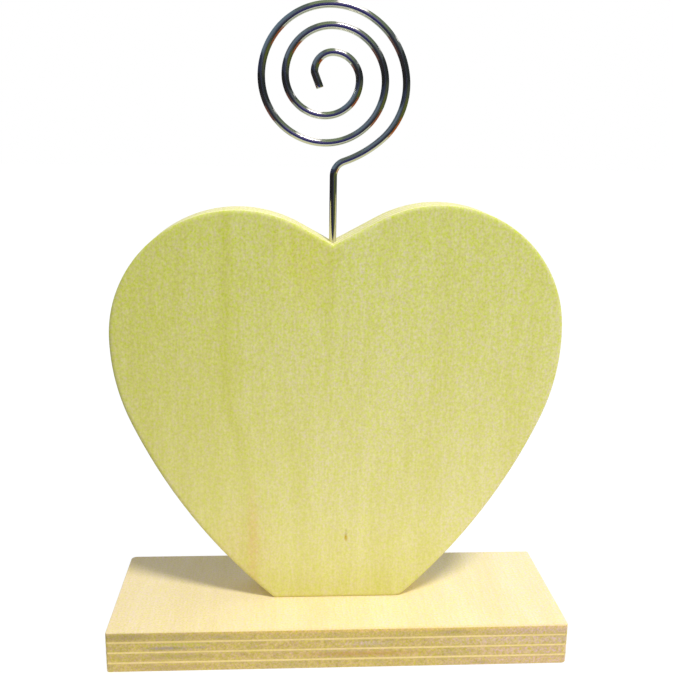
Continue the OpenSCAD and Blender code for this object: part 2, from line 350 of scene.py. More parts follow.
def arc(centre, radius, inset, start, end):
    """Points from angle start up to but without end, on a circle drawn in by inset. Their
    number follows the length of the circle's arc before it is drawn in."""
    n = max(FEWEST_STEPS, int(abs(np.radians(end - start)) * radius / STEP))
    return centre + (radius - inset) * ray(np.linspace(start, end, n, endpoint=False))


def angle_of(v):
    """The direction of a vector in degrees, from the x axis."""
    return np.degrees(np.arctan2(v[1], v[0]))


def lobe_end(lobe, notch):
    """Angle at which the straight run from the notch touches the lobe's circle."""
    w = notch - lobe
    return angle_of(w) - np.degrees(np.arccos(LOBE_R / np.hypot(*w)))


def heart_side(side, notch, inset):
    """One side of the heart from its foot to the notch, with x outwards. The lobe's circle
    touches the cheek's from inside, and the cheek's touches the flank's, which runs
    through the foot's corner: the cosine rule gives the angle where the flank ends."""
    lobe, cheek_from, foot_r = side["lobe"], side["cheek_from"], side["foot_r"]
    cheek = lobe - (CHEEK_R - LOBE_R) * ray(cheek_from)
    v, spread = np.array([FOOT_HALF, 0]) - cheek, FLANK_R - CHEEK_R
    across = (FLANK_R**2 - spread**2 - v @ v) / (2 * spread)
    flank_end = angle_of(v) + np.degrees(np.arccos(across / np.hypot(*v)))
    flank = cheek - spread * ray(flank_end)
    corner = angle_of(np.array([FOOT_HALF, 0]) - flank)
    run = foot_r * np.tan(np.radians(90 + corner) / 2)
    flank_start = corner + np.degrees(run / FLANK_R)
    foot = np.array([FOOT_HALF - run, foot_r])
    lobe_stop = lobe_end(lobe, notch)
    last = lobe + (LOBE_R - inset) * ray(lobe_stop)
    to_notch = np.hypot(*(notch - lobe - LOBE_R * ray(lobe_stop)))
    run_down = np.linspace(0, to_notch, int(to_notch / STEP), endpoint=False)
    downhill = run_down[:, None] * ray(lobe_stop + 90)
    return np.vstack([
        arc(foot, foot_r, inset, -90, corner),
        arc(flank, FLANK_R, inset, flank_start, flank_end),
        arc(cheek, CHEEK_R, inset, flank_end, cheek_from),
        arc(lobe, LOBE_R, inset, cheek_from, lobe_stop),
        last + downhill])


def heart_outline(inset):
    """The whole heart as seen from the front, x and height over the foot, drawn in by
    inset. At the notch, both straight runs move in, and they meet on the line between."""
    mirror = np.array([-1, 1])
    r = -ray(lobe_end(RIGHT_LOBE, NOTCH))
    l = -ray(180 - lobe_end(LEFT_LOBE, NOTCH * mirror))
    notch = NOTCH + inset * (r + l) / (1 + r @ l)
    right_half = heart_side(RIGHT_SIDE, NOTCH, inset)
    left_half = heart_side(LEFT_SIDE, NOTCH * mirror, inset) * mirror
    return np.vstack([right_half, notch, left_half[::-1]])


BASE_HALF = np.array(cad_box[1].xy)
CORNER_R, ROUND_CORNER_R, CORNER_STEPS = 0.8 * MM, 1.6 * MM, 12


def base_outline(inset):
    """The base from above, drawn in by inset, anticlockwise from its front right corner."""
    ways = np.array([(1, -1), (1, 1), (-1, 1), (-1, -1)])
    radii = np.array([ROUND_CORNER_R, CORNER_R, ROUND_CORNER_R, CORNER_R])[:, None]
    turn = np.linspace(0, 90, CORNER_STEPS + 1) + np.array([-90, 0, 90, 180])[:, None]
    centres = (BASE_HALF - radii) * ways
    return (centres[:, None] + (radii - inset)[:, None] * ray(turn)).reshape(-1, 2)


print("points round the heart:", len(heart_outline(0)), "and round the base:", len(base_outline(0)))

# %% [markdown]
# ## A plate, a peg or a tube is one closed skin
# All the pieces here can be made from rings of points: the outline of a board at several
# depths, circles round the axis of a screw, or circles along a wire. Neighbouring rings
# are joined by four-sided faces and a pole closes each end, so no seam is left open.

# %% Closed skins
def skin(name, rings, poles=None, smooth_deg=SMOOTH_DEG):
    """A closed piece through rings, an array of shape rings x points x 3. Point k of a
    ring is joined to point k of the next, and each end ring to its pole, its mean if no
    poles are given. If the volume comes out negative, the faces are turned round."""
    rows, n = rings.shape[:2]
    first, last = (rings[0].mean(0), rings[-1].mean(0)) if poles is None else poles
    points = np.vstack([rings.reshape(-1, 3), [first], [last]])
    k = np.arange(n)
    after = (k + 1) % n
    row = np.arange(rows - 1)[:, None] * n
    quads = np.stack([row + k, row + after, row + n + after, row + n + k], -1).reshape(-1, 4)
    start = np.stack([after, k, np.full(n, rows * n)], -1)
    last_row = (rows - 1) * n
    end = np.stack([last_row + k, last_row + after, np.full(n, rows * n + 1)], -1)
    piece = make_piece(name, points, quads.tolist() + start.tolist() + end.tolist(), smooth_deg)
    if volume(piece.data) < 0:
        piece.data.flip_normals()
    return piece


def volume(mesh):
    """A closed mesh's volume: the sum over its triangles of a . (b x c) / 6."""
    mesh.calc_loop_triangles()
    corners = np.zeros(len(mesh.loop_triangles) * 3, np.int32)
    mesh.loop_triangles.foreach_get("vertices", corners)
    co = np.zeros(len(mesh.vertices) * 3)
    mesh.vertices.foreach_get("co", co)
    a, b, c = co.reshape(-1, 3)[corners.reshape(-1, 3)].transpose(1, 0, 2)
    return float((a * np.cross(b, c)).sum() / 6)


# %% [markdown]
# ## The plies
# Plywood is seven sheets of basswood glued face to face: thick ones with thin cross plies
# between them. Each sheet is a plate of its own. The outer two have the edge rounded over
# that sandpaper leaves, and the others a hair's breadth broken off each edge, which draws
# the fine dark seams between plies. A pole in the middle of each face and a ring just
# inside the rounding keep the flat faces flat when they are shaded smooth.

# %% Edge profiles
HEART_ROUNDING, BASE_ROUNDING = np.array([1.2, 0.6]) * MM, np.array([0.3, 0.3]) * MM
EDGE_STEPS, SEAM, FLAT_RIM = 10, 0.05 * MM, 0.3 * MM


def edge_profile(thickness, rounding=None):
    """Pairs of inset and height up a ply's edge. If the ply's top edge is sanded, it is a
    quarter of an ellipse that reaches w in over the face and d down the edge: inset
    w (1 - cos a), height t - d (1 - sin a), with a from 0 to 90 degrees."""
    foot = [(FLAT_RIM, 0), (SEAM, 0), (0, SEAM)]
    if rounding is None:
        return np.array([*foot, (0, thickness - SEAM), (SEAM, thickness), (FLAT_RIM, thickness)])
    a = np.radians(np.linspace(0, 90, EDGE_STEPS + 1))
    w, d = rounding
    quarter = np.stack([w * (1 - np.cos(a)), thickness - d * (1 - np.sin(a))], -1)
    return np.vstack([foot, quarter, (w + FLAT_RIM, thickness)])


def ply(name, outline, centre, profile, to_frame):
    """A plate: the outline drawn in by each inset of the profile, at that height.
    to_frame turns arrays of across, along and height into x, y and z."""
    flat = np.stack([outline(inset) for inset in profile[:, 0]])
    height = np.broadcast_to(profile[:, 1, None, None], (*flat.shape[:2], 1))
    rings = to_frame(np.concatenate([flat, height], -1))
    poles = to_frame(np.array([(*centre, profile[0, 1]), (*centre, profile[-1, 1])]))
    return skin(name, rings, poles)


print("points up a sanded edge:", len(edge_profile(1 * MM, HEART_ROUNDING)))

# %% [markdown]
# ## Holes
# Three holes go through the plies: one down from the notch for the wire, and two up from
# the underside for the screws that hold the heart. A hole is easiest cut as it is in the
# workshop, by taking away a turned cutter, which the Boolean modifier does. Its result is
# then kept as the piece's own mesh.

# %% Turned cutters
TURNED_SIDES = 64


def turned_solid(name, profile, foot):
    """A solid turned about an upright axis through foot: each pair of radius and height
    of the profile becomes a circle."""
    turn = ray(np.arange(TURNED_SIDES) * 360 / TURNED_SIDES)
    profile = np.array(profile, float)
    flat = profile[:, 0, None, None] * turn
    height = np.broadcast_to(profile[:, 1, None, None], (len(profile), TURNED_SIDES, 1))
    return skin(name, np.concatenate([flat, height], -1) + np.array(foot))


def drill(piece, cutters):
    """Takes the cutters away from a piece, and keeps the mesh that is left."""
    for cutter in cutters:
        cut = piece.modifiers.new("hole", "BOOLEAN")
        cut.object, cut.solver = cutter, "EXACT"
    whole = piece.evaluated_get(bpy.context.evaluated_depsgraph_get())
    mesh = bpy.data.meshes.new_from_object(whole)
    piece.modifiers.clear()
    piece.data = mesh
    mesh.set_sharp_from_angle(angle=math.radians(SMOOTH_DEG))


# %% The three cutters
WIRE_R, STEM_IN, HOLE_CLEAR, END_GAP = 1 * MM, 24.5 * MM, 0.05 * MM, 0.3 * MM
SCREW_R, SCREW_HEAD_R, SCREW_SINK, SCREW_HEAD_H, SCREW_BITE = np.array([1.5, 3, 0.4, 1.6, 18]) * MM
SCREW_SHARE, OVERRUN = 0.27, 1 * MM
SCREW_X = SCREW_SHARE * 2 * FOOT_HALF
NOTCH_Z = BASE_TOP + NOTCH[1]

stem_hole = turned_solid("stem_cutter", [
    (WIRE_R + HOLE_CLEAR, -STEM_IN - END_GAP), (WIRE_R + HOLE_CLEAR, OVERRUN)],
    (NOTCH[0], HEART_MIDDLE_Y, NOTCH_Z))
screw_holes = [
    turned_solid("screw_cutter", [
        (SCREW_HEAD_R + HOLE_CLEAR, -OVERRUN), (SCREW_HEAD_R + HOLE_CLEAR, SCREW_SINK),
        (SCREW_R + HOLE_CLEAR, SCREW_SINK + SCREW_HEAD_H),
        (SCREW_R + HOLE_CLEAR, BASE_TOP + SCREW_BITE + END_GAP)], (x, HEART_MIDDLE_Y, 0))
    for x in (-SCREW_X, SCREW_X)]
print("screws, mm either side of the middle:", round(SCREW_X / MM, 2))

# %% [markdown]
# ## Laying up the boards
# Each ply lies where the box of its CAD solid is: the heart's plies one behind the other,
# the base's one on the other. Both outer plies are built from their inner face outwards,
# so that the sanded edge is outermost. The wire and the screws stay within the heart's
# inner plies, so those are drilled, and the screws pass through every ply of the base.

# %% Make the plies
HEART_POLE = np.array([0, 55 * MM])
PLY_NUMBERS = range(1, 8)
plies = {}


def lay_heart(first_y, way):
    """Stands a plate up: across to x, along to z over the base, height to y from first_y."""
    return lambda p: np.stack([p[..., 0], first_y + way * p[..., 2], BASE_TOP + p[..., 1]], -1)


def lay_base(first_z, way):
    """Lays a plate flat: height to z from first_z."""
    return lambda p: np.stack([p[..., 0], p[..., 1], first_z + way * p[..., 2]], -1)


for i in PLY_NUMBERS:
    first, outer = i == PLY_NUMBERS[0], i in (PLY_NUMBERS[0], PLY_NUMBERS[-1])
    low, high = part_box(f"heart_ply_{i}")
    start, way = (high.y, -1) if first else (low.y, 1)
    piece = ply(f"heart_veneer_{i}", heart_outline, HEART_POLE,
                edge_profile(high.y - low.y, HEART_ROUNDING if outer else None), lay_heart(start, way))
    if not outer:
        drill(piece, [stem_hole, *screw_holes])
    plies[f"heart_ply_{i}"] = piece

    low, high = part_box(f"base_ply_{i}")
    start, way = (high.z, -1) if first else (low.z, 1)
    piece = ply(f"base_veneer_{i}", base_outline, np.zeros(2),
                edge_profile(high.z - low.z, BASE_ROUNDING if outer else None), lay_base(start, way))
    drill(piece, screw_holes)
    plies[f"base_ply_{i}"] = piece

for cutter in (stem_hole, *screw_holes):
    bpy.data.objects.remove(cutter)
for node, piece in plies.items():
    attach(piece, "stand")
    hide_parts(node)
    print(piece.name, "triangles:", sum(len(p.vertices) - 2 for p in piece.data.polygons),
          "volume in mm3:", round(volume(piece.data) / MM**3, 1))

# %% [markdown]
# ## Basswood
# Basswood is pale and almost without figure: fine fibres run one way, broad faint bands
# follow them, and the pores speckle it yellow and pink. It is drawn as it grows, as a
# pattern in space stretched along the grain, so the same material shows streaks on a face
# and dots where the saw has cut across. Real fibres and pores are under a tenth of a
# millimetre wide, too fine to show, so they are drawn as coarse as half a millimetre.

# %% Patterns in the wood
# Width across the grain in mm, how much longer it is along it, detail, roughness, warp.
FIBRES = (0.55, 12, 3, 0.55, 0.0)
BANDS = (9, 9, 2, 0.55, 0.6)
PINK_PORES = (0.6, 1.1, 2, 0.55, 0.0)
GREEN_PORES = (0.66, 1.1, 2, 0.55, 0.0)
CUT_FIBRES = (0.9, 1, 5, 0.7, 0.0)
WORN_PATCHES = (7, 1.6, 2, 0.55, 0.4)
SEED_SHIFT, NOISE_MIDDLE = np.array([0.31, 0.17, 0.23]), 0.5


def grown(tree, where, grain, seed, width_mm, stretch, detail, rough, warp):
    """Noise with features of that width across the grain axis, longer along it. Each
    seed takes it from another place."""
    scale = np.ones(3)
    scale[grain] = 1 / stretch
    moved = add(tree, "ShaderNodeMapping", {
        "Vector": where, "Location": SEED_SHIFT * seed, "Scale": scale})
    return add(tree, "ShaderNodeTexNoise", {
        "Vector": moved.outputs[0], "Scale": 1 / (width_mm * MM), "Detail": detail,
        "Roughness": rough, "Distortion": warp}).outputs["Fac"]


def swing(tree, noise, strength):
    """Noise that varies about zero, times a strength."""
    about_zero = add(tree, "ShaderNodeMath", {0: noise, 1: NOISE_MIDDLE}, operation="SUBTRACT")
    return add(tree, "ShaderNodeMath", {
        0: about_zero.outputs[0], 1: strength}, operation="MULTIPLY").outputs[0]


def varied(tree, colour, amount, tint):
    """Colour times 1 + tint amount, channel by channel."""
    change = add(tree, "ShaderNodeVectorMath", {
        0: amount, 1: tint, 2: (1, 1, 1)}, operation="MULTIPLY_ADD")
    return add(tree, "ShaderNodeVectorMath", {
        0: colour, 1: change.outputs[0]}, operation="MULTIPLY").outputs[0]


print("a streak of fibres, mm wide and long:", FIBRES[0], round(FIBRES[0] * FIBRES[1], 1))

# %% [markdown]
# ## Faces, cut ends and glue
# On a face, the bands and fibres shift the wood between two near colours. Cut ends show
# the fibres as spots: darker and browner in the base, with worn patches, and pale on the
# sanded edge of the heart. How squarely a surface cuts the grain says which of the two it
# shows. Along each joint between plies runs a faint line of dried glue.

# %% Colours of faces, ends and glue
BANDS_SHARE, FACE_RANGE, CUT_RANGE = 0.7, (0.36, 0.62), (0.34, 0.6)
WORN_RANGE, WORN_MOST = (0.5, 0.72), 0.5
GLUE_RANGE, GLUE_MOST, GLUE_COLOUR = (0.02 * MM, 0.12 * MM), 0.15, "#A88A4C"


def face_wood(tree, colours, fibre, band):
    """Dark to pale wood, as the bands and, less so, the fibres say."""
    tone = add(tree, "ShaderNodeMix", {0: BANDS_SHARE, 2: fibre, 3: band})
    stops = zip(FACE_RANGE, (colours["dark"], colours["pale"]))
    return add(tree, "ShaderNodeValToRGB", {0: tone.outputs[0]}, stops).outputs[0]


def end_wood(tree, colours, spots, patches):
    """Dark to pale end grain, as the spots say, and a third colour in the patches."""
    stops = zip(CUT_RANGE, (colours["end_dark"], colours["end_pale"]))
    end = add(tree, "ShaderNodeValToRGB", {0: spots}, stops)
    worn = add(tree, "ShaderNodeMapRange", {
        0: patches, 1: WORN_RANGE[0], 2: WORN_RANGE[1], 3: 0.0, 4: WORN_MOST})
    return add(tree, "ShaderNodeMix", {
        0: worn.outputs[0], 6: end.outputs[0], 7: linear(colours["patch"])}, data_type="RGBA").outputs[2]


def cut_share(tree, normal, grain, end_from):
    """How much a surface looks like a cut end: the size of normal . grain, stretched so
    that the first value of end_from gives 0 and the second 1."""
    axis = np.zeros(3)
    axis[grain] = 1.0
    along = add(tree, "ShaderNodeVectorMath", {0: normal, 1: axis}, operation="DOT_PRODUCT")
    facing = add(tree, "ShaderNodeMath", {0: along.outputs["Value"]}, operation="ABSOLUTE")
    return add(tree, "ShaderNodeMapRange", {
        0: facing.outputs[0], 1: end_from[0], 2: end_from[1]}).outputs[0]


def glue_share(tree, where, axis, low, high):
    """How strongly dried glue shows: GLUE_MOST where the place along the axis is within
    a hair of low or of high, where the glued faces are, and nothing further on."""
    place = add(tree, "ShaderNodeSeparateXYZ", {0: where}).outputs[axis]
    near = [add(tree, "ShaderNodeMath", {0: place, 1: face}, operation="SUBTRACT") for face in (low, high)]
    gaps = [add(tree, "ShaderNodeMath", {0: d.outputs[0]}, operation="ABSOLUTE") for d in near]
    nearest = add(tree, "ShaderNodeMath", {
        0: gaps[0].outputs[0], 1: gaps[1].outputs[0]}, operation="MINIMUM")
    return add(tree, "ShaderNodeMapRange", {
        0: nearest.outputs[0], 1: GLUE_RANGE[0], 2: GLUE_RANGE[1], 3: GLUE_MOST, 4: 0.0}).outputs[0]


print("dried glue shows up to", round(GLUE_RANGE[1] / MM, 2), "mm from a joint")


# %% Marks
MARK_CORE, LOW_AND_HIGH, BROKEN = 0.3, (0.35, 0.65), (0.4, 1.4)


def marked(tree, where, colour, marks, noise):
    """Small marks on a sheet. Each is a soft ellipsoid with a centre and half sizes in mm,
    a colour and a strength. It is full inside MARK_CORE of its half sizes and runs out at
    their end. The wood breaks it up: it is BROKEN times as strong where noise is low and
    where it is high."""
    broken = add(tree, "ShaderNodeMapRange", {
        0: noise, 1: LOW_AND_HIGH[0], 2: LOW_AND_HIGH[1], 3: BROKEN[0], 4: BROKEN[1]}).outputs[0]
    for centre, half, stain, strength in marks:
        grow = 1 / (np.array(half) * MM)
        place = add(tree, "ShaderNodeVectorMath", {
            0: where, 1: grow, 2: -np.array(centre) * MM * grow}, operation="MULTIPLY_ADD")
        far = add(tree, "ShaderNodeVectorMath", {0: place.outputs[0]}, operation="LENGTH")
        amount = add(tree, "ShaderNodeMapRange", {
            0: far.outputs["Value"], 1: MARK_CORE, 2: 1.0, 3: strength, 4: 0.0})
        amount = add(tree, "ShaderNodeMath", {0: amount.outputs[0], 1: broken}, operation="MULTIPLY")
        colour = add(tree, "ShaderNodeMix", {
            0: amount.outputs[0], 6: colour, 7: linear(stain)}, data_type="RGBA").outputs[2]
    return colour


print("the wood makes a mark between", BROKEN[0], "and", BROKEN[1], "times as strong")

# %% [markdown]
# ## Sanded basswood, put together
# Face and cut end are mixed and marks are laid over them. Then two patterns of pores
# speckle all: one turns the yellow wood towards pink, and the other towards green. On the
# heart the speckle grows with height, because the real face is calm near its foot and
# livelier above. Bare sanded wood is matt, and its fibres stand up about a hundredth of a
# millimetre.

# %% Basswood
SAWN_END, ROUNDED_END = (0.35, 0.9), (0.65, 0.95)
CALM_Z, LIVELY_Z, END_SPECKLE = 25 * MM, 115 * MM, 1.45
FIBRE_TINT = np.array([0.05, 0.02, 0.7])
PINK_TINT, GREEN_TINT = np.array([0.34, 0.08, 2.4]), np.array([0.14, 0.34, -0.7])
WOOD_ROUGHNESS, WOOD_SPECULAR, RELIEF, RELIEF_DEPTH = 0.62, 0.3, 0.2, 0.05 * MM


def basswood(name, grain, seed, colours, speckle, glued, figure_and_light=None, marks=(), end_from=SAWN_END):
    """Sanded basswood with its grain along axis 0, 1 or 2. speckle is how strongly fibres
    and pores change the colour of the faces, at CALM_Z and at LIVELY_Z. glued is the axis
    across the ply and the places of its two glued faces on it. The figure function, if one
    is given, may change the colour of the faces, with figure in the wood and with painted
    light, and marks are laid over everything. end_from says how squarely a surface has to
    cut the grain to begin to look, and to look fully, like a cut end."""
    material = bpy.data.materials.new(name)
    material.use_nodes = True
    tree = material.node_tree
    bsdf = tree.nodes["Principled BSDF"]
    bsdf.inputs["Roughness"].default_value = WOOD_ROUGHNESS
    bsdf.inputs["Specular IOR Level"].default_value = WOOD_SPECULAR
    place = add(tree, "ShaderNodeTexCoord")
    where = place.outputs["Object"]
    fibre, band, pink, green, spots, patches = [
        grown(tree, where, grain, seed, *kind)
        for kind in (FIBRES, BANDS, PINK_PORES, GREEN_PORES, CUT_FIBRES, WORN_PATCHES)]

    height = add(tree, "ShaderNodeSeparateXYZ", {0: where}).outputs["Z"]
    lively = add(tree, "ShaderNodeMapRange", {
        0: height, 1: CALM_Z, 2: LIVELY_Z, 3: speckle[0], 4: speckle[1]}).outputs[0]
    face = varied(tree, face_wood(tree, colours, fibre, band), swing(tree, fibre, lively), FIBRE_TINT)
    if figure_and_light:
        face = figure_and_light(tree, where, face)
    end = end_wood(tree, colours, spots, patches)
    cut = cut_share(tree, place.outputs["Normal"], grain, end_from)
    wood = add(tree, "ShaderNodeMix", {0: cut, 6: face, 7: end}, data_type="RGBA").outputs[2]
    wood = marked(tree, where, wood, marks, spots)
    speckled = add(tree, "ShaderNodeMapRange", {0: cut, 3: lively, 4: END_SPECKLE}).outputs[0]
    for pores, tint in ((pink, PINK_TINT), (green, GREEN_TINT)):
        wood = varied(tree, wood, swing(tree, pores, speckled), tint)
    glue = glue_share(tree, where, *glued)
    colour = add(tree, "ShaderNodeMix", {0: glue, 6: wood, 7: linear(GLUE_COLOUR)}, data_type="RGBA")
    tree.links.new(colour.outputs[2], bsdf.inputs["Base Color"])

    relief = add(tree, "ShaderNodeMix", {0: cut, 2: fibre, 3: spots})
    bump = add(tree, "ShaderNodeBump", {
        "Height": relief.outputs[0], "Strength": RELIEF, "Distance": RELIEF_DEPTH})
    tree.links.new(bump.outputs[0], bsdf.inputs["Normal"])
    return material


print("relief of the sanded wood in mm:", round(RELIEF * RELIEF_DEPTH / MM, 3))

# %% [markdown]
# ## The heart's front sheet and the base's top sheet
# One mineral streak runs down the left of the heart's face and steps to the right about
# halfway. Left of it the face is a shade darker and yellower, partly the wood's own tone and
# partly painted shade for the weaker light on the heart's left, and that fades over 18 mm to
# its right. A narrow olive shadow runs along it, fainter low down. Higher up the face turns
# slightly greener, and near the foot it is painted paler, painted light for the light that
# the base and the paper before it throw up onto it. The streak is a curve through a few
# points, because such a line in wood wanders and follows no rule. The base's top sheet is
# painted a little whiter from left to right, painted light for the light that falls more
# strongly on its right side.

# %% Figure and painted light
STREAK_Z, STREAK_X = np.array([0, 130]) * MM, np.array([-34, -24]) * MM
STREAK = MM * np.array([
    (24, -26.2), (45, -26.2), (56, -26.5), (65, -28.6), (74, -31.2), (100, -31.2), (125, -30.7)])
# The left tint darkens and yellows the face left of the streak: partly the wood's own tone, partly painted
# shade for the weaker light on the heart's left.
LEFT_FADE, LEFT_TONE_AND_SHADE = 18 * MM, np.array([-0.04, -0.04, -0.17])
SHADOW_SIDES = np.array([(-3.6, -0.4), (1.6, -0.4)]) * MM
SHADOW_TINT = np.array([-0.06, -0.05, -0.27])
FAINT_Z, CLEAR_Z, FAINT = 45 * MM, 75 * MM, 0.35
# Painted light: the face is painted paler near its foot, up to PALE_END_Z, for the light that the base and
# the paper before it throw up onto it.
PALE_Z, PALE_END_Z, PAINTED_FOOT_LIGHT = 12 * MM, 42 * MM, np.array([0.05, 0.04, 0.0])
# The second tint is painted light: it makes the base's top sheet whiter towards its right, where more
# light falls.
# These two are per metre.
GREENER_UP, PAINTED_LIGHT_RIGHT = np.array([-0.1, 0.6, -1.4]), np.array([0.0, 0.5, 1.2])


def heart_figure_and_light(tree, where, colour):
    """With the streak at x = s(z), a curve through STREAK, and d = x - s(z): the left tint,
    the wood's tone and partly painted shade, grows towards d = 0 from the right, and the
    shadow rises smoothly from both sides to its strongest at d = -0.4 mm. The face also
    turns greener with height, and is painted paler near the foot as painted light."""
    split = add(tree, "ShaderNodeSeparateXYZ", {0: where})
    across, up = split.outputs["X"], split.outputs["Z"]
    share = add(tree, "ShaderNodeMapRange", {0: up, 1: STREAK_Z[0], 2: STREAK_Z[1]})
    curve = add(tree, "ShaderNodeFloatCurve", {"Value": share.outputs[0]})
    points = curve.mapping.curves[0].points
    places = (STREAK - (STREAK_Z[0], STREAK_X[0])) / (np.ptp(STREAK_Z), np.ptp(STREAK_X))
    for x, y in places[1:-1].tolist():
        points.new(x, y)
    points[0].location, points[len(points) - 1].location = places[0].tolist(), places[-1].tolist()
    curve.mapping.update()
    streak = add(tree, "ShaderNodeMapRange", {0: curve.outputs[0], 3: STREAK_X[0], 4: STREAK_X[1]})
    d = add(tree, "ShaderNodeMath", {0: across, 1: streak.outputs[0]}, operation="SUBTRACT").outputs[0]

    # Left of the streak: the wood's tone and partly painted shade.
    left = add(tree, "ShaderNodeMapRange", {0: d, 1: LEFT_FADE, 2: 0.0}).outputs[0]
    # Painted light near the foot.
    foot = add(tree, "ShaderNodeMapRange", {0: up, 1: PALE_END_Z, 2: PALE_Z}).outputs[0]
    shadow = add(tree, "ShaderNodeMapRange", {
        0: up, 1: FAINT_Z, 2: CLEAR_Z, 3: FAINT, 4: 1.0}).outputs[0]
    for start, stop in SHADOW_SIDES:
        side = add(tree, "ShaderNodeMapRange", {
            0: d, 1: start, 2: stop}, interpolation_type="SMOOTHSTEP").outputs[0]
        shadow = add(tree, "ShaderNodeMath", {0: shadow, 1: side}, operation="MULTIPLY").outputs[0]
    for amount, tint in (
            (up, GREENER_UP), (foot, PAINTED_FOOT_LIGHT), (left, LEFT_TONE_AND_SHADE), (shadow, SHADOW_TINT)):
        colour = varied(tree, colour, amount, tint)
    return colour


def base_painted_light(tree, where, colour):
    """Painted light: colour times 1 + x times the tint per metre, so the top sheet is painted whiter
    towards its right, where more light falls.
    """
    across = add(tree, "ShaderNodeSeparateXYZ", {0: where}).outputs["X"]
    return varied(tree, colour, across, PAINTED_LIGHT_RIGHT)


print("the streak steps over by, mm:", round(float(np.ptp(STREAK[:, 1])) / MM, 1))

# %% [markdown]
# ## Marks on the front faces
# The heart's face is yellower left of the notch. Low on its left a narrow warm streak
# runs through a faint warm area, and near the foot sits a small golden fleck with an olive
# tail. Three more are pinpoints, one pale and two dull. On the base, a honey-coloured line
# follows the front's upper edge, and the sawn plies are stained in places. Each mark is a
# centre and half sizes, in mm, a colour and a strength.

# %% Places and colours of the marks
HEART_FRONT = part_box("heart_ply_1")[0].y / MM
BASE_FRONT = cad_box[0].y / MM
HEART_MARKS = [
    ((-10, HEART_FRONT, 114), (11, 1, 22), "#DCD84A", 0.4),
    ((-27, HEART_FRONT, 26), (12, 1, 20), "#E4C692", 0.22),
    ((-24.8, HEART_FRONT, 29), (2.2, 1, 24), "#DFC064", 0.4),
    ((2.4, HEART_FRONT, 32.6), (0.55, 1, 1.7), "#A09020", 0.42),
    ((2.4, HEART_FRONT, 31.1), (0.6, 1, 1.2), "#C8A600", 0.95),
    ((-21.7, HEART_FRONT, 114.0), (0.5, 1, 0.5), "#F4F2A0", 0.5),
    ((8.6, HEART_FRONT, 72.8), (0.4, 1, 0.5), "#B9AE6A", 0.4),
    ((18.7, HEART_FRONT, 67.4), (0.4, 1, 0.5), "#B9AE6A", 0.4)]
BASE_MARKS = {
    7: [((30, BASE_FRONT, 11.75), (110, 1.5, 0.85), "#F0C668", 0.36),
        ((-60, BASE_FRONT, 10.8), (10, 1, 1.6), "#8C8250", 0.5),
        ((-46, BASE_FRONT, 10.8), (20, 1, 1.6), "#94885A", 0.25),
        ((-33, BASE_FRONT, 10.3), (4, 1, 0.8), "#8C8668", 0.35),
        ((32, BASE_FRONT, 10.7), (7, 1, 1.0), "#9A8C58", 0.35),
        ((60, BASE_FRONT, 10.8), (26, 1, 1.6), "#C9B092", 0.6)],
    5: [((-48, BASE_FRONT, 7.2), (9, 1, 0.8), "#7A7C6C", 0.55),
        ((-39, BASE_FRONT, 7.3), (3, 1, 0.6), "#86866C", 0.4),
        ((-44, BASE_FRONT, 8.4), (14, 1, 0.5), "#AEB04A", 0.6),
        ((8, BASE_FRONT, 7.6), (10, 1, 0.8), "#C9B8A0", 0.4),
        ((52, BASE_FRONT, 7.8), (34, 1, 2), "#CBB78E", 0.6)],
    3: [((-46, BASE_FRONT, 4.6), (16, 1, 1.4), "#978C50", 0.45),
        ((-27, BASE_FRONT, 4.9), (2, 1, 0.6), "#7E6A38", 0.35),
        ((6, BASE_FRONT, 4.4), (22, 1, 1.1), "#AE8038", 0.45),
        ((58, BASE_FRONT, 4.6), (30, 1, 2), "#CBB38C", 0.6)],
    1: [((-48, BASE_FRONT, 1.2), (16, 1, 1.1), "#A08C5C", 0.4),
        ((56, BASE_FRONT, 1.3), (34, 1, 2), "#CBB088", 0.55),
        ((40, BASE_FRONT, 0.9), (5, 1, 0.7), "#8E8450", 0.35)]}
print("marks:", len(HEART_MARKS), "on the heart and", sum(map(len, BASE_MARKS.values())), "on the base")

# %% [markdown]
# ## Painting the plies
# Each ply is a sheet of its own, so each gets its own wood, from another place of the
# pattern. The grain of the thick plies runs up the heart and from front to back in the
# base, so that the base's front shows their cut ends, and the cross plies' grain runs from
# side to side. An outer sheet of the heart has a rounded edge, and there the look of a cut
# end begins later, so that it doesn't creep onto the face.

# %% Paint the plies
X, Y, Z = range(3)
HEART_COLOURS = {"pale": "#E5DE93", "dark": "#DFD885",
                 "end_pale": "#FFFCC0", "end_dark": "#FCF2AE", "patch": "#FAECA8"}
BASE_COLOURS = {"pale": "#F9E8BA", "dark": "#F5E2AE",
                "end_pale": "#C5B360", "end_dark": "#AE9A52", "patch": "#A39A58"}
CROSS_COLOURS = {**BASE_COLOURS, "pale": "#DECD80", "dark": "#D2C070"}
HEART_SPECKLE, BASE_SPECKLE = (0.7, 1.25), (0.75, 0.75)
# A face without glue has its glue line a metre away. BASE_SEED keeps the base's patterns
# apart from the heart's.
UNGLUED, BASE_SEED = 1.0, 20

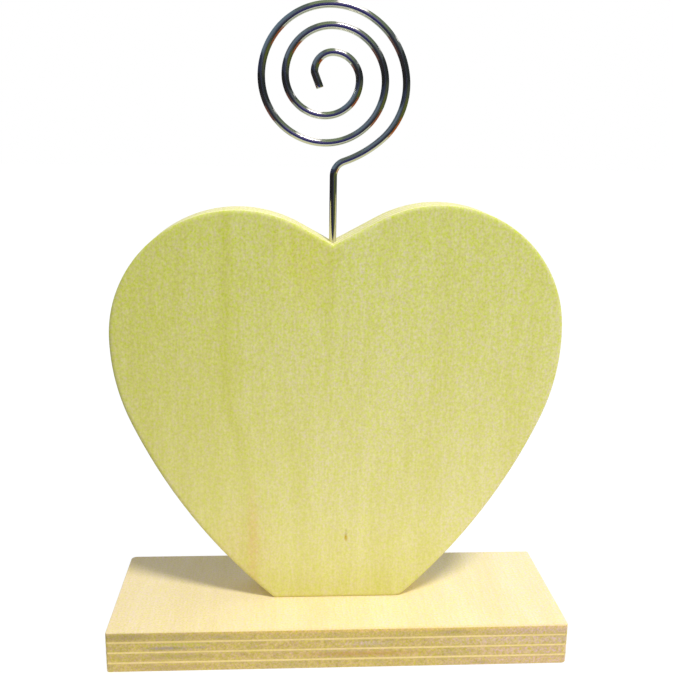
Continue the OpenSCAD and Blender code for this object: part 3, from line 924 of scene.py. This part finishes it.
for i in PLY_NUMBERS:
    thick, first, last = i % 2 == 1, i == PLY_NUMBERS[0], i == PLY_NUMBERS[-1]
    low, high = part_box(f"heart_ply_{i}")
    wood = basswood(
        f"basswood_heart_{i}", Z if thick else X, i, HEART_COLOURS, HEART_SPECKLE,
        (Y, UNGLUED if first else low.y, UNGLUED if last else high.y),
        heart_figure_and_light if first else None, HEART_MARKS if first else (),
        ROUNDED_END if first or last else SAWN_END)
    plies[f"heart_ply_{i}"].data.materials.append(wood)

    low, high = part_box(f"base_ply_{i}")
    wood = basswood(
        f"basswood_base_{i}", Y if thick else X, i + BASE_SEED,
        BASE_COLOURS if thick else CROSS_COLOURS, BASE_SPECKLE,
        (Z, UNGLUED if first else low.z, UNGLUED if last else high.z),
        base_painted_light if last else None, BASE_MARKS.get(i, ()))
    plies[f"base_ply_{i}"].data.materials.append(wood)
    print("ply", i, "has its grain along", "XYZ"[Z if thick else X], "in the heart and",
          "XYZ"[Y if thick else X], "in the base")

# %% [markdown]
# ## The wire
# The clip is one length of spring wire, bent round a jig a quarter turn at a time, ever
# tighter. Its path is a list of bends, each a radius and a turn, and straight ends. An arc
# is a row of short steps: each step turns by the same angle and goes a chord of the arc,
# so running sums of the turns and of the steps give every heading and every point.

# %% The wire's path
STEM_OUT = 18.2 * MM
COIL_R = 20.4 * MM
QUARTERS = COIL_R * np.array([1, 0.9, 0.84, 0.78, 0.7, 0.61, 0.52, 0.45, 0.35, 0.24])
BEND_RADII = np.array([4.2 * MM, 30 * MM, 18.7 * MM, *QUARTERS, 1.5 * MM])
BEND_TURNS = np.array([-71, 23, 48, *([90] * len(QUARTERS)), 21])
INNER_END = 4 * MM
RING_TURN, STEM_STEPS, END_STEPS = 1.5, 12, 4
WIRE_SIDES, END_BREAK, WIRE_SMOOTH_DEG = 48, 0.15 * MM, 50


def wire_path():
    """Points x, z and headings in degrees along the wire, from the foot of the stem to
    the inner end. A step that turns by a goes 2 r sin(a / 2) at the heading midway."""
    counts = np.ceil(np.abs(BEND_TURNS) / RING_TURN).astype(int)
    turns = np.repeat(BEND_TURNS / counts, counts)
    chords = 2 * np.repeat(BEND_RADII, counts) * np.sin(np.radians(np.abs(turns)) / 2)
    stem = np.full(STEM_STEPS, (STEM_IN + STEM_OUT) / STEM_STEPS)
    end = np.full(END_STEPS, INNER_END / END_STEPS)
    turns = np.concatenate([np.zeros(STEM_STEPS), turns, np.zeros(END_STEPS)])
    chords = np.concatenate([stem, chords, end])
    headings = 90 + np.concatenate([[0], np.cumsum(turns)])
    steps = chords[:, None] * ray(headings[:-1] + turns / 2)
    foot = np.array([NOTCH[0], NOTCH_Z - STEM_IN])
    return foot + np.concatenate([np.zeros((1, 2)), np.cumsum(steps, 0)]), headings


path, headings = wire_path()
print("wire length in mm:", round(float(np.hypot(*np.diff(path, axis=0).T).sum()) / MM, 1))


# %% The wire's skin
def wire_rings():
    """Circles round the path, with the cut ends' sharp edges broken: an extra ring at
    each end lies on the cut and is smaller, and the end ring moves in by as much."""
    points = np.vstack([path[:1], path, path[-1:]])
    angles = np.concatenate([headings[:1], headings, headings[-1:]])
    shift = np.zeros(len(points))
    shift[1], shift[-2] = END_BREAK, -END_BREAK
    radius = np.full(len(points), WIRE_R)
    radius[[0, -1]] -= END_BREAK
    points = points + shift[:, None] * ray(angles)
    left = ray(angles + 90)
    turn = np.arange(WIRE_SIDES) * 2 * np.pi / WIRE_SIDES
    u = radius[:, None] * np.cos(turn)
    v = np.broadcast_to(radius[:, None] * np.sin(turn), u.shape)
    return np.stack([
        points[:, :1] + u * left[:, :1], HEART_MIDDLE_Y + v, points[:, 1:] + u * left[:, 1:]], -1)


wire = skin("bent_spring_wire", wire_rings(), smooth_deg=WIRE_SMOOTH_DEG)
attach(wire, "clip")
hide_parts("photo_clip")
print("rings:", len(path) + 2, "volume in mm3:", round(volume(wire.data) / MM**3, 1))

# %% [markdown]
# ## Bright nickel plate
# The wire is steel with a bright nickel plate. It is a mirror with a faint warm tint, a
# little dulled in places by fingers and by the die that the wire was drawn through.

# %% Nickel plate
DULL_MM, NICKEL_ROUGH = 1.2, (0.07, 0.16)

nickel = bpy.data.materials.new("bright_nickel_plate")
nickel.use_nodes = True
tree = nickel.node_tree
bsdf = tree.nodes["Principled BSDF"]
bsdf.inputs["Base Color"].default_value = linear("#C9C6BE")
bsdf.inputs["Metallic"].default_value = 1.0
where = add(tree, "ShaderNodeTexCoord")
dulling = add(tree, "ShaderNodeTexNoise", {
    "Vector": where.outputs["Object"], "Scale": 1 / (DULL_MM * MM), "Detail": 3.0})
rough = add(tree, "ShaderNodeMapRange", {
    0: dulling.outputs["Fac"], 3: NICKEL_ROUGH[0], 4: NICKEL_ROUGH[1]})
tree.links.new(rough.outputs[0], bsdf.inputs["Roughness"])
wire.data.materials.append(nickel)
print(nickel.name, "on", wire.name)

# %% [markdown]
# ## Screws
# Two countersunk wood screws hold the heart from below. Only their heads show, in the
# underside, so the CAD solids stay and get a zinc finish, which is duller than nickel and
# has a cloudy bloom.

# %% Zinc plate
BLOOM_MM, ZINC_ROUGH = 0.8, (0.25, 0.45)

zinc = bpy.data.materials.new("zinc_plated_steel")
zinc.use_nodes = True
tree = zinc.node_tree
bsdf = tree.nodes["Principled BSDF"]
bsdf.inputs["Metallic"].default_value = 1.0
where = add(tree, "ShaderNodeTexCoord")
bloom = add(tree, "ShaderNodeTexNoise", {
    "Vector": where.outputs["Object"], "Scale": 1 / (BLOOM_MM * MM), "Detail": 4.0})
tint = add(tree, "ShaderNodeValToRGB", {0: bloom.outputs["Fac"]}, ((0.0, "#A7A9A4"), (1.0, "#CBCDD0")))
tree.links.new(tint.outputs[0], bsdf.inputs["Base Color"])
rough = add(tree, "ShaderNodeMapRange", {
    0: bloom.outputs["Fac"], 3: ZINC_ROUGH[0], 4: ZINC_ROUGH[1]})
tree.links.new(rough.outputs[0], bsdf.inputs["Roughness"])
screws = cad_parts["heart_screws"]
screws.data.materials.clear()
screws.data.materials.append(zinc)
print(zinc.name, "on", screws.name)
